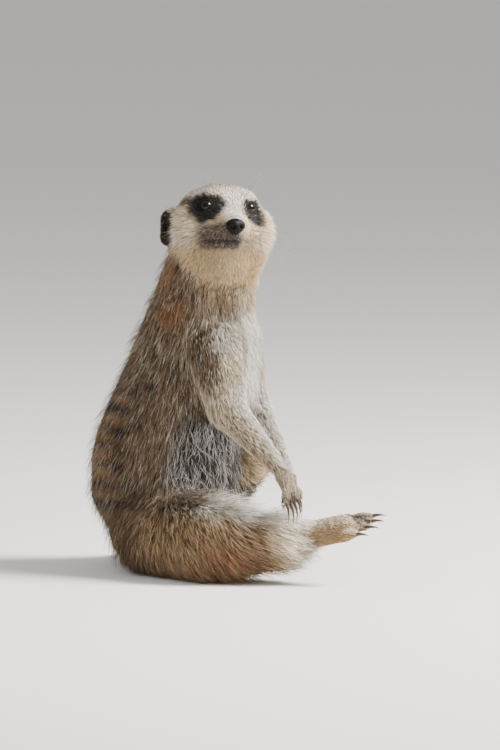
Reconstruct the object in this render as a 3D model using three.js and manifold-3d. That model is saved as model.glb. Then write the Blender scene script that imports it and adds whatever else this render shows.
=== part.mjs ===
// A life-size meerkat sitting upright on its rump, head turned to its right.
// Units are millimetres. +Z is up, the body faces +X and the animal's left is +Y.
// The origin is on the floor, at the flat under the rump.
// The body is one rounded field of distances. Each named region of it is meshed on a grid of its
// own, and a region that comes later in the list is cut back to leave a thin seam to the earlier.

import * as THREE from 'three';
import Module from 'manifold-3d';
import { mergeVertices } from 'three/addons/utils/BufferGeometryUtils.js';

const wasm = await Module();
wasm.setup();

const SEAM = 1.0;                 // gap between neighbouring regions
// Facets that lie this near to flat are merged, on the body's regions and on the small pieces.
const FLATNESS = { region: 0.65, small: 0.05 };
const GRID_SHIFTS = [0, 0.21, 0.43, 0.67, 0.86];  // in cells, tried in turn
const SLOPE_STEP = 0.05;         // step over which a field's slope is measured
const FUR = 0x9c8468;             // grizzled back
const CREAM = 0xd8c8a8;           // face, throat and limbs
const DARK = 0x1c1714;            // ears, nose, claws and tail tip

// Trunk and neck as upright stations: height, centre along X, half depth and half width,
// measured to the tips of the coat.
const STATIONS = [
  [-14, 10, 8, 10],
  [0, 8, 24, 27],
  [10, 5, 31, 34],
  [27, 2, 39, 40],
  [46, -1, 48, 43],
  [71, 0, 50, 42],
  [95, 5, 48.5, 40],
  [115, 12, 46, 37],
  [137, 18, 42, 34],
  [157, 22.5, 38, 32],
  [175, 26.5, 33.5, 31],
  [188, 30, 31, 30],
  [201, 33, 29, 29],
  [215, 36, 25, 25],
  [232, 38, 12, 12],
];

// The plane where the neck begins: a point on it and its normal.
const COLLAR = new THREE.Vector3(26, 0, 171);
const COLLAR_NORMAL = new THREE.Vector3(0.15, 0, 1).normalize();

// Head frame: its origin is midway between the eyes, +X to the nose, +Y to the left ear.
const HEAD = { at: [54.5, -15, 237], heading: -47, pitch: 10, roll: -4 };
const EYE = { at: [-2.6, 13.6, -1.2], radius: 4.8 };
// Forms of the head: centre and half sizes. One that lies off the middle is on both sides.
const HEAD_FORMS = {
  cranium: [[-22, 0, -4], [27, 28, 20.5]],
  brow: [[-7, 10.5, 2], [9, 8.5, 8.5]],
  cheek: [[-15, 13.8, -16.5], [19, 18, 15]],
  lip: [[4.5, 6.5, -18], [11.5, 8, 7]],
};
// Tapered forms of the head: from, to, and the radius at each end.
const HEAD_TAPERS = {
  throat: [[-17, 0, -20], [-21, 0, -30], 24, 25],
  muzzle: [[-7, 0, -12], [12, 0, -15], 16.5, 8.4],
  jaw: [[-12, 0, -22], [9, 0, -23], 11, 4.8],
};
const SOCKET = [[4.5, 18.5, -1.2], [5, 5, 5]];
const NOSE_PAD = [[19.6, 0, -15], [4.0, 6.5, 4.5]];
const NOSE_FOOT = [[19, 0, -17.4], [3.5, 4.2, 3.7]];
// The left ear lies closer against the neck than the right one.
const EARS = { left: [-34, 27.5, -13.2], right: [-29.5, -32.4, -13.2] };
const EAR = { tall: 12, deep: 7.6, thick: 4.8 };
const EAR_CUP = { ahead: 3.6, out: 3, down: 0.5, size: [4.4, 3.8, 8] };

// Limb joints and the radius of the furred limb at each.
const LIMBS = {
  right: {
    arm: { shoulder: [46, -20, 147], elbow: [67, -40, 109], wrist: [112, -52, 73],
      knuckle: [118, -52.5, 61] },
    leg: { hip: [10, -28, 29.5], knee: [61, -49, 26], hock: [106, -42, 28], ankle: [112, -40, 28.5],
      ball: [149, -34, 37] },
  },
  left: {
    arm: { shoulder: [38, 20, 147], elbow: [48, 29, 109], wrist: [84, 9, 65],
      knuckle: [88, 7, 53] },
    leg: { hip: [-8, 28, 34], knee: [43, 37, 66], hock: [6, 47, 15], ankle: [6, 48, 9],
      ball: [46, 52, 6.5] },
  },
};
const RADII = {
  right: { shoulder: 19, elbow: 13.5, wrist: 5.3, knuckle: 4.5, hip: 29, knee: 26.5, hock: 18.5,
    ankle: 8.5, ball: 8.6 },
  left: { shoulder: 19, elbow: 12.5, wrist: 5.3, knuckle: 4.5, hip: 29, knee: 14, hock: 10,
    ankle: 8.5, ball: 8 },
};

// Digits: count, spread across the paw and sizes, then the claw that grows from each tip.
const DIGITS = {
  hand: { count: 4, spacing: 4.4, length: 10, radius: 2.1, droop: 1.5, claw: 13, clawRadius: 1.4 },
  foot: { count: 4, spacing: 6, length: 18, radius: 3.2, droop: 1, claw: 9, clawRadius: 1.6 },
};
const FAN = { root: 0.8, knuckle: 0.15, tip: 0.3, bend: 0.38, point: 0.4 };  // shares of the spacing
const KNUCKLE_RISE = 0.6;
const CLAW_CURL = 0.32;                         // drop of a claw's point, as a share of its length
const CLAW_BOW = { along: 0.55, sink: 0.5 };    // middle of a claw: share of its length, and drop
const CLAW_THINNING = 0.86;                     // share of its radius that a claw loses to its point
const DIGIT_END = 0.4;                          // squared share of its radius at a digit's ends
// Directions in which the digits of each paw lie side by side.
const ACROSS = {
  right: { hand: [0, 1, 0.1], foot: [0.17, 0.8, 0.5] },
  left: { hand: [0.35, 1, 0.1], foot: [-0.1, 1, 0] },
};
const CLAW_GAP = 0.4;                           // between a digit's tip and its claw
const DIGIT_REACH = [0.84, 1, 0.97, 0.8];       // relative length of each digit, inner to outer

// Tail: laid on the floor round the animal's left side.
const TAIL_ROUTE = [[-30, 4, 18], [-43, 26, 11], [-49, 58, 8], [-40, 93, 7.4], [-12, 119, 6.6],
  [22, 124, 5.8], [44, 104, 5]];
const TAIL_RADIUS = { root: 11, tip: 4.6 };
const TAIL_LENGTHS = { tail_base: [0, 0.4], tail_mid: [0.4, 0.75], tail_tip: [0.75, 1] };
const TAIL_END = 0.02;                          // squared share of its radius at the tail's end

// Sides and lengthwise steps of the round bars, and the facets round and down a ball.
const BARS = { digit: [6, 3], claw: [5, 3], tail: [9, 7] };
const BALL_FACETS = [12, 9];

// For each region: how far its grid stands off its joints, the grid's cell, and how far the
// region keeps past its own form where it flows into the next.
const GRIDS = {
  nose: { margin: 10, cell: 1.8 },
  head: { margin: 50, cell: 5, reach: 1.5 },
  neck: { margin: 50, cell: 9, reach: 2 },
  trunk: { margin: 62, cell: 11, reach: 2 },
  thigh: { margin: 38, cell: 10, reach: 2 },
  shank: { margin: 31, cell: 8, reach: 1 },
  foot: { margin: 13, cell: 4.4, reach: 0.3 },
  upper_arm: { margin: 24, cell: 8, reach: 1.5 },
  forearm: { margin: 18, cell: 6, reach: 1 },
  hand: { margin: 13, cell: 3.8, reach: 0.3 },
};
// Middles of the grids that no joint gives: the head's in its own frame, the others in the body's.
const MIDDLES = { head: [-18, 0, -8], neck: [30, 0, 195], rump: [0, 0, 10], withers: [20, 0, 190] };
// How widely neighbouring forms are rounded into each other.
const ROUNDING = { head: 8, socket: 3, nose: 2, throat: 10, trunk: 9, hip: 10, leg: 6, shoulder: 9,
  arm: 5, paw: 3 };

// ---- distance functions -------------------------------------------------------------------

// Smooth union of two distances, rounded over k.
function blend(a, b, k) {
  const h = Math.max(k - Math.abs(a - b), 0) / k;
  return Math.min(a, b) - h * h * k / 4;
}

// Distance to a limb length that tapers from radius ra at a to rb at b.
function taper(a, b, ra, rb) {
  const axis = new THREE.Vector3(...b).sub(new THREE.Vector3(...a));
  const lengthSq = axis.lengthSq();
  return (x, y, z) => {
    const dx = x - a[0];
    const dy = y - a[1];
    const dz = z - a[2];
    const along = THREE.MathUtils.clamp((dx * axis.x + dy * axis.y + dz * axis.z) / lengthSq, 0, 1);
    const off = Math.hypot(dx - axis.x * along, dy - axis.y * along, dz - axis.z * along);
    return off - ra - (rb - ra) * along;
  };
}

// Near distance to an ellipsoid.
function ellipsoid([cx, cy, cz], [rx, ry, rz]) {
  return (x, y, z) => {
    const px = (x - cx) / rx;
    const py = (y - cy) / ry;
    const pz = (z - cz) / rz;
    const k0 = Math.hypot(px, py, pz);
    const k1 = Math.max(Math.hypot(px / rx, py / ry, pz / rz), 1e-6);
    return k0 * (k0 - 1) / k1;
  };
}

// Smooth union of a list of fields.
function fuse(fields, k) {
  return (x, y, z) => fields.map((f) => f(x, y, z)).reduce((a, b) => blend(a, b, k));
}

// The same field seen from a placed frame.
function placed(field, matrix) {
  const inverse = matrix.clone().invert();
  const p = new THREE.Vector3();
  return (x, y, z) => {
    p.set(x, y, z).applyMatrix4(inverse);
    return field(p.x, p.y, p.z);
  };
}

// ---- the body's fields --------------------------------------------------------------------

function trunkField() {
  const heights = STATIONS.map((s) => s[0]);
  const tracks = [1, 2, 3].map((i) => {
    const track = new THREE.CubicInterpolant(heights, STATIONS.map((s) => s[i]), 1);
    return (z) => track.evaluate(z)[0];
  });
  const [low, high] = [heights[0], heights.at(-1)];
  return (x, y, z) => {
    const zc = THREE.MathUtils.clamp(z, low, high);
    const [cx, deep, wide] = tracks.map((t) => t(zc));
    const ring = Math.hypot((x - cx) / deep, y / wide) - 1;
    return ring * Math.min(deep, wide) + 2 * Math.abs(z - zc);
  };
}

const headFrame = new THREE.Matrix4().makeRotationFromEuler(new THREE.Euler(
  THREE.MathUtils.degToRad(HEAD.roll),
  THREE.MathUtils.degToRad(-HEAD.pitch),
  THREE.MathUtils.degToRad(HEAD.heading),
  'ZYX',
)).setPosition(...HEAD.at);

function bothSides([[x, y, z], sizes]) {
  return (y === 0 ? [[x, y, z]] : [[x, y, z], [x, -y, z]]).map((at) => ellipsoid(at, sizes));
}

function headField() {
  const forms = Object.values(HEAD_FORMS).flatMap(bothSides);
  const tapers = Object.values(HEAD_TAPERS).map((t) => taper(...t));
  const solid = fuse([...forms, ...tapers], ROUNDING.head);
  const sockets = bothSides(SOCKET);
  return (x, y, z) => {
    const hollow = Math.min(...sockets.map((s) => s(x, y, z)));
    return -blend(-solid(x, y, z), hollow, ROUNDING.socket);
  };
}

function limbFields(side) {
  const { arm, leg } = LIMBS[side];
  const r = RADII[side];
  return {
    upper_arm: taper(arm.shoulder, arm.elbow, r.shoulder, r.elbow),
    forearm: taper(arm.elbow, arm.wrist, r.elbow - 1.5, r.wrist),
    hand: taper(arm.wrist, arm.knuckle, r.wrist, r.knuckle),
    thigh: taper(leg.hip, leg.knee, r.hip, r.knee),
    shank: taper(leg.knee, leg.hock, r.knee - 1, r.hock),
    foot: taper(leg.ankle, leg.ball, r.ankle, r.ball),
  };
}

const core = trunkField();
const head = placed(headField(), headFrame);
const limb = { right: limbFields('right'), left: limbFields('left') };

// ---- meshing ------------------------------------------------------------------------------

// Closed mesh of the zero surface of a field inside a box: one vertex to each grid cell that
// the surface crosses, drawn onto the surface, and one quad to each grid edge that crosses it.
function mesh(field, box, cell, shift) {
  const low = box.min.toArray().map((v) => v - shift * cell);
  const n = box.max.toArray().map((v, i) => Math.ceil((v - low[i]) / cell) + 2);
  const at = (i, j, k) => (k * n[1] + j) * n[0] + i;
  const value = new Float64Array(n[0] * n[1] * n[2]);
  const point = (i, j, k) => [low[0] + i * cell, low[1] + j * cell, low[2] + k * cell];
  const edgeOfBox = (i, j, k) => [i, j, k].some((v, a) => v === 0 || v === n[a] - 1);
  for (let k = 0; k < n[2]; k++) {
    for (let j = 0; j < n[1]; j++) {
      for (let i = 0; i < n[0]; i++) {
        const v = field(...point(i, j, k));
        value[at(i, j, k)] = edgeOfBox(i, j, k) ? Math.max(v, cell / 4) : v || 1e-6;
      }
    }
  }
  const vertexOf = new Map();
  const positions = [];
  const corners = [0, 1, 2, 3, 4, 5, 6, 7].map((c) => [c & 1, (c >> 1) & 1, c >> 2]);
  const edges = corners.flatMap((c, a) => [1, 2, 4].filter((b) => !(a & b)).map((b) => [a, a | b]));
  const vertex = (i, j, k) => {
    const key = at(i, j, k);
    if (!vertexOf.has(key)) {
      const values = corners.map(([a, b, c]) => value[at(i + a, j + b, k + c)]);
      const crossed = edges.filter(([a, b]) => (values[a] < 0) !== (values[b] < 0));
      const sum = [0, 0, 0];
      for (const [a, b] of crossed) {
        const t = values[a] / (values[a] - values[b]);
        sum.forEach((_, x) => { sum[x] += corners[a][x] + t * (corners[b][x] - corners[a][x]); });
      }
      const start = point(i, j, k).map((v, x) => v + cell * sum[x] / crossed.length);
      vertexOf.set(key, positions.length / 3);
      positions.push(...drawn(field, start, cell));
    }
    return vertexOf.get(key);
  };
  const triangles = [];
  for (let k = 0; k < n[2] - 1; k++) {
    for (let j = 0; j < n[1] - 1; j++) {
      for (let i = 0; i < n[0] - 1; i++) {
        const inside = value[at(i, j, k)] < 0;
        for (let axis = 0; axis < 3; axis++) {
          const step = [0, 1, 2].map((x) => Number(x === axis));
          if (inside === value[at(i + step[0], j + step[1], k + step[2])] < 0) continue;
          const u = [0, 1, 2].map((x) => Number(x === (axis + 1) % 3));
          const w = [0, 1, 2].map((x) => Number(x === (axis + 2) % 3));
          const ring = [[0, 0], [1, 0], [1, 1], [0, 1]].map(([a, b]) => (
            vertex(i - a * u[0] - b * w[0], j - a * u[1] - b * w[1], k - a * u[2] - b * w[2])));
          if (!inside) ring.reverse();
          triangles.push(ring[0], ring[1], ring[2], ring[0], ring[2], ring[3]);
        }
      }
    }
  }
  return { positions, triangles };
}

// Moves a point along the slope of a field, most of the way onto its zero surface.
function drawn(field, start, cell) {
  const p = [...start];
  for (let pass = 0; pass < 2; pass++) {
    const f = field(...p);
    const slope = [0, 1, 2].map((x) => {
      const q = [...p];
      q[x] += SLOPE_STEP;
      return (field(...q) - f) / SLOPE_STEP;
    });
    const steep = slope.reduce((s, v) => s + v * v, 1e-9);
    p.forEach((v, x) => {
      const move = THREE.MathUtils.clamp(-f * slope[x] / steep, -cell / 3, cell / 3);
      p[x] = THREE.MathUtils.clamp(v + move, start[x] - cell / 2.5, start[x] + cell / 2.5);
    });
  }
  return p;
}

function toSolid({ positions, triangles }) {
  return new wasm.Manifold(new wasm.Mesh({
    numProp: 3,
    vertProperties: new Float32Array(positions),
    triVerts: new Uint32Array(triangles),
  }));
}

function fromGeometry(geometry) {
  geometry.deleteAttribute('normal');
  geometry.deleteAttribute('uv');
  const merged = mergeVertices(geometry, 1e-4);
  return toSolid({ positions: merged.attributes.position.array, triangles: merged.index.array });
}

function toGeometry(solid) {
  const { vertProperties, triVerts } = solid.getMesh();
  const geometry = new THREE.BufferGeometry();
  geometry.setAttribute('position', new THREE.BufferAttribute(new Float32Array(vertProperties), 3));
  geometry.setIndex(new THREE.BufferAttribute(new Uint32Array(triVerts), 1));
  return geometry;
}

// Round bar along a curve whose radius is a function of the way along, closed at both ends.
function sweep(curve, radiusAt, [sides, steps], grow) {
  const frames = curve.computeFrenetFrames(steps, false);
  const positions = [];
  const triangles = [];
  for (let s = 0; s <= steps; s++) {
    const centre = curve.getPointAt(s / steps);
    const radius = radiusAt(s / steps) + grow;
    for (let k = 0; k < sides; k++) {
      const turn = 2 * Math.PI * k / sides;
      const p = centre.clone()
        .addScaledVector(frames.normals[s], radius * Math.cos(turn))
        .addScaledVector(frames.binormals[s], radius * Math.sin(turn));
      positions.push(p.x, p.y, p.z);
    }
  }
  const last = steps * sides;
  for (let k = 0; k < sides; k++) {
    const next = (k + 1) % sides;
    for (let s = 0; s < last; s += sides) {
      triangles.push(s + k, s + next, s + sides + next, s + k, s + sides + next, s + sides + k);
    }
    if (k > 0 && next > 0) {
      triangles.push(0, next, k, last, last + k, last + next);
    }
  }
  return toSolid({ positions, triangles });
}

// ---- regions ------------------------------------------------------------------------------

const group = new THREE.Group();
const placedSolids = [];

function boxAround(points, margin) {
  return new THREE.Box3().setFromPoints(points.map((p) => new THREE.Vector3(...p)))
    .expandByScalar(margin);
}

// Adds a solid as a named mesh, cut back from all that is already there.
// shape(grow) gives the solid, grown all round by that much.
function add(name, shape, colour, flatness = FLATNESS.region) {
  let solid = shape(0).trimByPlane([0, 0, 1], 0);
  for (const other of placedSolids) {
    solid = solid.subtract(other);
  }
  const bodies = solid.asOriginal().simplify(flatness).decompose();
  const largest = bodies.sort((a, b) => b.volume() - a.volume())[0];
  placedSolids.push(shape(SEAM));
  const material = new THREE.MeshStandardMaterial({ color: colour, roughness: 0.85, metalness: 0 });
  const part = new THREE.Mesh(toGeometry(largest), material);
  part.name = name;
  group.add(part);
}

// Solid of a field. Where a grid pinches the surface to a point, the next grid is shifted.
function solidOf(field, box, cell) {
  for (const shift of GRID_SHIFTS) {
    try {
      return toSolid(mesh(field, box, cell, shift));
    } catch (pinched) {
      if (shift === GRID_SHIFTS.at(-1)) throw pinched;
    }
  }
  return null;
}

// Region of a blended field that keeps within reach of its own forms. Its grid goes round the
// points given.
function region(kind, own, blended, points) {
  const { margin, cell, reach } = GRIDS[kind];
  const box = boxAround(points, margin);
  return (grow) => {
    const body = solidOf((x, y, z) => blended(x, y, z) - grow, box, cell);
    return body.intersect(solidOf((x, y, z) => own(x, y, z) - reach - grow, box, cell));
  };
}

// Ellipsoid set in the head's frame.
function ball(centre, radii, grow) {
  const geometry = new THREE.SphereGeometry(1, ...BALL_FACETS);
  geometry.scale(...radii.map((r) => r + grow)).translate(...centre);
  return fromGeometry(geometry.applyMatrix4(headFrame));
}

function inHead(point) {
  return new THREE.Vector3(...point).applyMatrix4(headFrame).toArray();
}

function addFace() {
  for (const [side, sign] of [['left', 1], ['right', -1]]) {
    const at = [EYE.at[0], sign * EYE.at[1], EYE.at[2]];
    const radii = [EYE.radius, EYE.radius, EYE.radius];
    add(`eye_${side}`, (grow) => ball(at, radii, grow), DARK, FLATNESS.small);
  }
  const pad = placed(fuse([ellipsoid(...NOSE_PAD), ellipsoid(...NOSE_FOOT)], ROUNDING.nose), headFrame);
  const padBox = boxAround([inHead(NOSE_PAD[0])], GRIDS.nose.margin);
  add('nose', (grow) => solidOf((x, y, z) => pad(x, y, z) - grow, padBox, GRIDS.nose.cell), DARK);
  const neckward = (x, y, z) => blend(head(x, y, z), core(x, y, z), ROUNDING.throat);
  add('head', region('head', head, neckward, [inHead(MIDDLES.head)]), CREAM);
  for (const [side, [x, y, z]] of Object.entries(EARS)) {
    const cup = [x + EAR_CUP.ahead, y + Math.sign(y) * EAR_CUP.out, z - EAR_CUP.down];
    const shell = (grow) => ball([x, y, z], [EAR.deep, EAR.thick, EAR.tall], grow);
    add(`ear_${side}`, (grow) => shell(grow).subtract(ball(cup, EAR_CUP.size, -grow)), DARK);
  }
}

// Digits of a paw side by side along its cross axis, each with a knuckle bend.
function digitCurves(kind, from, to, across) {
  const forward = new THREE.Vector3(...to).sub(new THREE.Vector3(...from)).normalize();
  const side = new THREE.Vector3(...across).normalize();
  const down = new THREE.Vector3().crossVectors(forward, side);
  if (down.z > 0) down.negate();
  const { count, spacing, length, radius, droop, claw } = DIGITS[kind];
  return Array.from({ length: count }, (_, i) => {
    const offset = (i - (count - 1) / 2) * spacing;
    const reach = length * DIGIT_REACH[i];
    const root = new THREE.Vector3(...to).addScaledVector(side, offset * FAN.root)
      .addScaledVector(forward, -radius);
    const along = (distance, spread, sink) => root.clone().addScaledVector(forward, distance)
      .addScaledVector(side, offset * spread).addScaledVector(down, sink);
    return {
      digit: new THREE.CatmullRomCurve3([
        root,
        along(reach / 2, FAN.knuckle, -KNUCKLE_RISE),
        along(reach, FAN.tip, droop),
      ]),
      claw: new THREE.CatmullRomCurve3([
        along(reach + CLAW_GAP, FAN.tip, droop),
        along(reach + claw * CLAW_BOW.along, FAN.bend, droop + CLAW_BOW.sink),
        along(reach + claw, FAN.point, droop + claw * CLAW_CURL),
      ]),
    };
  });
}

function addPaw(side, kind) {
  const { arm, leg } = LIMBS[side];
  const [from, to] = kind === 'hand' ? [arm.wrist, arm.knuckle] : [leg.ankle, leg.ball];
  const curves = digitCurves(kind, from, to, ACROSS[side][kind]);
  const { radius, clawRadius } = DIGITS[kind];
  const own = limb[side][kind];
  const up = limb[side][kind === 'hand' ? 'forearm' : 'shank'];
  const joined = (x, y, z) => blend(own(x, y, z), up(x, y, z), ROUNDING.paw);
  const palm = region(kind, own, joined, [from, to]);
  const digitRadius = (t) => radius * Math.sqrt(Math.max(1 - (2 * t - 1) ** 6, DIGIT_END));
  add(`${kind}_${side}`, (grow) => curves.reduce((solid, { digit }) => (
    solid.add(sweep(digit, digitRadius, BARS.digit, grow))), palm(grow)), CREAM);
  const clawShape = (t) => clawRadius * (1 - CLAW_THINNING * t);
  curves.forEach(({ claw }, i) => {
    add(`claw_${kind}_${side}_${i + 1}`, (grow) => sweep(claw, clawShape, BARS.claw, grow), DARK,
      FLATNESS.small);
  });
}

function addLimb(side) {
  const own = limb[side];
  const { arm, leg } = LIMBS[side];
  const legBlend = fuse([own.thigh, own.shank], ROUNDING.leg);
  const hipBlend = (x, y, z) => blend(legBlend(x, y, z), core(x, y, z), ROUNDING.hip);
  add(`thigh_${side}`, region('thigh', own.thigh, hipBlend, [leg.hip, leg.knee]), FUR);
  add(`shank_${side}`, region('shank', own.shank, legBlend, [leg.knee, leg.hock]), CREAM);
  addPaw(side, 'foot');
  const armBlend = fuse([own.upper_arm, own.forearm], ROUNDING.arm);
  const shoulderBlend = (x, y, z) => blend(armBlend(x, y, z), core(x, y, z), ROUNDING.shoulder);
  add(`upper_arm_${side}`, region('upper_arm', own.upper_arm, shoulderBlend,
    [arm.shoulder, arm.elbow]), FUR);
  add(`forearm_${side}`, region('forearm', own.forearm, armBlend, [arm.elbow, arm.wrist]), CREAM);
  addPaw(side, 'hand');
}

function addTrunk() {
  const limbs = ['right', 'left'].flatMap((side) => [limb[side].upper_arm, limb[side].thigh]);
  const body = fuse([core, ...limbs], ROUNDING.trunk);
  const throat = (x, y, z) => blend(core(x, y, z), head(x, y, z), ROUNDING.throat);
  const neck = region('neck', core, throat, [MIDDLES.neck]);
  const height = COLLAR_NORMAL.dot(COLLAR);
  add('neck', (grow) => neck(grow).trimByPlane(COLLAR_NORMAL.toArray(), height - grow), FUR);
  const trunk = region('trunk', core, body, [MIDDLES.rump, MIDDLES.withers]);
  const downward = COLLAR_NORMAL.clone().negate().toArray();
  add('trunk', (grow) => trunk(grow).trimByPlane(downward, SEAM - grow - height), FUR);
}

function addTail() {
  const route = new THREE.CatmullRomCurve3(TAIL_ROUTE.map((p) => new THREE.Vector3(...p)));
  const radiusAt = (t) => THREE.MathUtils.lerp(TAIL_RADIUS.root, TAIL_RADIUS.tip, Math.sqrt(t));
  for (const [name, [from, to]] of Object.entries(TAIL_LENGTHS)) {
    const steps = BARS.tail[1];
    const way = (i) => route.getPointAt(THREE.MathUtils.lerp(from, to, i / steps));
    const stretch = new THREE.CatmullRomCurve3(Array.from({ length: steps + 1 }, (_, i) => way(i)));
    const closing = (t) => (to === 1 ? Math.sqrt(Math.max(1 - t ** 8, TAIL_END)) : 1);
    const radius = (t) => radiusAt(THREE.MathUtils.lerp(from, to, t)) * closing(t);
    add(name, (grow) => sweep(stretch, radius, BARS.tail, grow), name === 'tail_tip' ? DARK : FUR);
  }
}

addFace();
addTrunk();
addLimb('right');
addLimb('left');
addTail();

export default group;
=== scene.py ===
import math

import bmesh
import bpy
import numpy as np
from mathutils import Matrix, Vector, noise
from mathutils.kdtree import KDTree


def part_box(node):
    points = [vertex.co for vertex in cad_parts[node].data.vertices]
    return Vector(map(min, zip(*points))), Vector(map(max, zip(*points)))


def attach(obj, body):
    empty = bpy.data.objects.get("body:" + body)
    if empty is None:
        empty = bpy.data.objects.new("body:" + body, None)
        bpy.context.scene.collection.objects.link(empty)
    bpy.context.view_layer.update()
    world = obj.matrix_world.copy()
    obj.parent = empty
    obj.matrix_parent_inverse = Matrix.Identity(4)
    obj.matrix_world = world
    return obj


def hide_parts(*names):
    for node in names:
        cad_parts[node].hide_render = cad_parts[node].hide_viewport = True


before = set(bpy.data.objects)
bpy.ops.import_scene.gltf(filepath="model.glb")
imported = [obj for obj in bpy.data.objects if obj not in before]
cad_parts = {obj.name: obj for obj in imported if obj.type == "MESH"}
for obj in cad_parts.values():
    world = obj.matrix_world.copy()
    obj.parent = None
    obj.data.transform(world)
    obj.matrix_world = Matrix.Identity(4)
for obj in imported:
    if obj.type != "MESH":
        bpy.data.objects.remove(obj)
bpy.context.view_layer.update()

# ---- Skin ----
# One skin over the whole animal, from the lips to the tail, with no seam: the hide under the
# coat. The regions are swelled until their seams close, fused, smoothed, and sunk by the depth
# of the coat that lies on each part. Lids, lips and ear cups are then worked into it.

MM = 0.001
VOXEL = 1.0 * MM
SWELL = 0.62 * MM  # half a seam, and a little more
KEPT = 0.36  # share of the faces kept where the hide is plain
FLESH = [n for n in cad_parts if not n.startswith(("eye", "claw", "nose"))]
REGIONS = sorted(FLESH)
FINE = ("head", "ear", "hand", "foot")
SAMPLE, BLUR = 1.6 * MM, 1.5 * MM  # spacing of places on the regions, and how far they mix
SKIN_LOW = 0.2 * MM  # least height of the skin over the floor

# For each part: depth of the skin, length and width of a tuft in millimetres, its lift in degrees,
# how many stand on a square millimetre, how much they clump and how many degrees they stray.
COAT = {
    "trunk": (4.3, 11.5, 0.40, 25, 1.52, 0.24, 11),
    "neck": (3.2, 8.5, 0.36, 24, 1.70, 0.24, 9),
    "head": (1.5, 4.0, 0.25, 20, 2.5, 0.2, 8),
    "ear": (0.4, 2.0, 0.24, 22, 2.6, 0.1, 10),
    "upper": (2.8, 8.0, 0.38, 27, 1.4, 0.25, 12),
    "forearm": (1.8, 6.2, 0.32, 28, 1.6, 0.2, 12),
    "hand": (0.5, 2.4, 0.24, 14, 1.9, 0.1, 8),
    "thigh": (4.2, 15.0, 0.44, 25, 1.46, 0.38, 14),
    "shank": (3.0, 12.5, 0.42, 26, 1.40, 0.36, 13),
    "foot": (0.5, 2.6, 0.26, 13, 1.8, 0.1, 8),
    "tail": (1.4, 5.5, 0.38, 18, 1.4, 0.3, 10),
}


def kind_of(node):
    return node.split("_")[0]


def centre_of(node):
    low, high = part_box(node)
    return (low + high) / 2


def step(low, high, value):
    """0 up to low, 1 from high on, with a smooth rise between. High may be less than low."""
    t = np.clip((value - low) / (high - low), 0, 1)
    return t * t * (3 - 2 * t)


def bump_at(value, middle, width):
    return np.exp(-((value - middle) / width) ** 2)


def unit(vectors):
    return vectors / np.maximum(np.linalg.norm(vectors, axis=1, keepdims=True), 1e-12)


def placed(name, data):
    piece = bpy.data.objects.new(name, data)
    bpy.context.scene.collection.objects.link(piece)
    return piece


def object_from(bm, name):
    mesh = bpy.data.meshes.new(name)
    bm.to_mesh(mesh)
    bm.free()
    return placed(name, mesh)


def surfaced(piece, material):
    """Smooth shading and one material for the whole of a piece."""
    mesh = piece.data
    mesh.polygons.foreach_set("use_smooth", np.ones(len(mesh.polygons), dtype=bool))
    mesh.materials.clear()
    mesh.materials.append(material)


def fused(nodes, by, name):
    """A copy of some nodes as one mesh, each swelled along its normals."""
    whole = bmesh.new()
    for node in nodes:
        part = bmesh.new()
        part.from_mesh(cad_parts[node].data)
        bmesh.ops.remove_doubles(part, verts=part.verts, dist=1e-6)
        part.normal_update()
        for v in part.verts:
            v.co += v.normal * by
        mesh = bpy.data.meshes.new("part")
        part.to_mesh(mesh)
        part.free()
        whole.from_mesh(mesh)
        bpy.data.meshes.remove(mesh)
    return object_from(whole, name)


def applied(piece, kind, **settings):
    modifier = piece.modifiers.new(kind.lower(), kind)
    for key, value in settings.items():
        setattr(modifier, key, value)
    graph = bpy.context.evaluated_depsgraph_get()
    mesh = bpy.data.meshes.new_from_object(piece.evaluated_get(graph))
    piece.modifiers.clear()
    piece.data = mesh
    mesh.name = piece.name


def read(items, key, width, kind=float):
    values = np.empty(len(items) * width, dtype=kind)
    items.foreach_get(key, values)
    return values.reshape(-1, width)


def places_of(mesh):
    return read(mesh.vertices, "co", 3)


def normals_of(mesh):
    return read(mesh.vertex_normals, "vector", 3, np.float32).astype(float)


def edges_of(mesh):
    return read(mesh.edges, "vertices", 2, np.int64)


def triangles_of(mesh, of="vertices"):
    mesh.calc_loop_triangles()
    return read(mesh.loop_triangles, of, 3, np.int64)


def areas_of(corner):
    across = np.cross(corner[:, 1] - corner[:, 0], corner[:, 2] - corner[:, 0])
    return np.linalg.norm(across, axis=1) / 2


def scattered(rng, count):
    """Even random places in triangles, as shares of their second and third corners."""
    u, v = rng.random((2, count, 1))
    flip = u + v > 1
    return np.where(flip, 1 - u, u), np.where(flip, 1 - v, v)


def tree_of(points):
    tree = KDTree(len(points))
    for order, point in enumerate(points):
        tree.insert(point, order)
    tree.balance()
    return tree


def move_to(mesh, places):
    mesh.vertices.foreach_set("co", np.ascontiguousarray(places).ravel())
    mesh.update()


def eased(values, edges, rounds, pull):
    """Spreads per-vertex values to their neighbours, by the pull of each vertex."""
    count = len(values)
    a, b = edges.T
    degree = np.maximum(np.bincount(a, minlength=count) + np.bincount(b, minlength=count), 1)
    out = values.copy()
    for _ in range(rounds):
        for axis in range(values.shape[1]):
            column = out[:, axis]
            total = np.bincount(a, column[b], count) + np.bincount(b, column[a], count)
            out[:, axis] = column + pull * (total / degree - column)
    return out


def refine(piece, wanted):
    """Splits the faces round the vertices that are wanted, for finer modelling there."""
    bm = bmesh.new()
    bm.from_mesh(piece.data)
    bm.verts.ensure_lookup_table()
    edges = [e for e in bm.edges if wanted[e.verts[0].index] and wanted[e.verts[1].index]]
    bmesh.ops.subdivide_edges(bm, edges=edges, cuts=1, use_grid_fill=True)
    bmesh.ops.triangulate(bm, faces=[f for f in bm.faces if len(f.verts) > 3])
    bm.to_mesh(piece.data)
    bm.free()


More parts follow.
